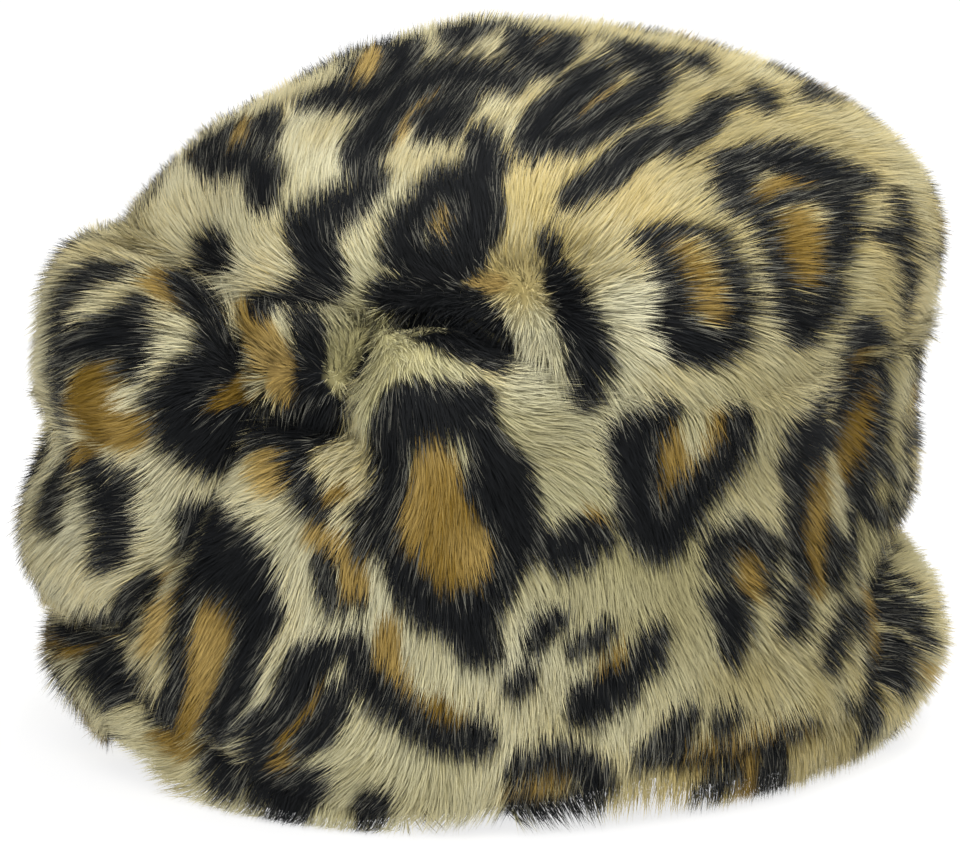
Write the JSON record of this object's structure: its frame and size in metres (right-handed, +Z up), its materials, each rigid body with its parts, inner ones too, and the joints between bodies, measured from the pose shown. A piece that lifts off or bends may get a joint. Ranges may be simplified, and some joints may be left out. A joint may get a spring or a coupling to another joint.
{
  "type": "fur turban hat",
  "caption": "Round leopard-spotted faux-fur turban hat: a puffed hollow crown, wraps gathered to a knot at the front, and a fur cuff round the head opening.",
  "frame": {"origin": "on the floor, under the middle of the hat's footprint", "axes": "+Z up through the crown, -Y towards the front with the knot, +X towards the hat's right side as seen from the front"},
  "size_m": [0.2234, 0.2568, 0.1682],
  "materials": {
    "crown_fur": "long-pile faux fur, tan with dark rosettes",
    "left_wrap_fur": "long-pile faux fur, cream with dark rosettes",
    "right_wrap_fur": "long-pile faux fur, sand with dark rosettes",
    "knot_fur": "long-pile faux fur, brown",
    "cuff_fur": "long-pile faux fur, cream with dark spots"
  },
  "bodies": {
    "root": {"crown": "crown_fur", "left_wrap": "left_wrap_fur", "right_wrap": "right_wrap_fur", "knot": "knot_fur", "cuff": "cuff_fur"}
  },
  "joints": []
}
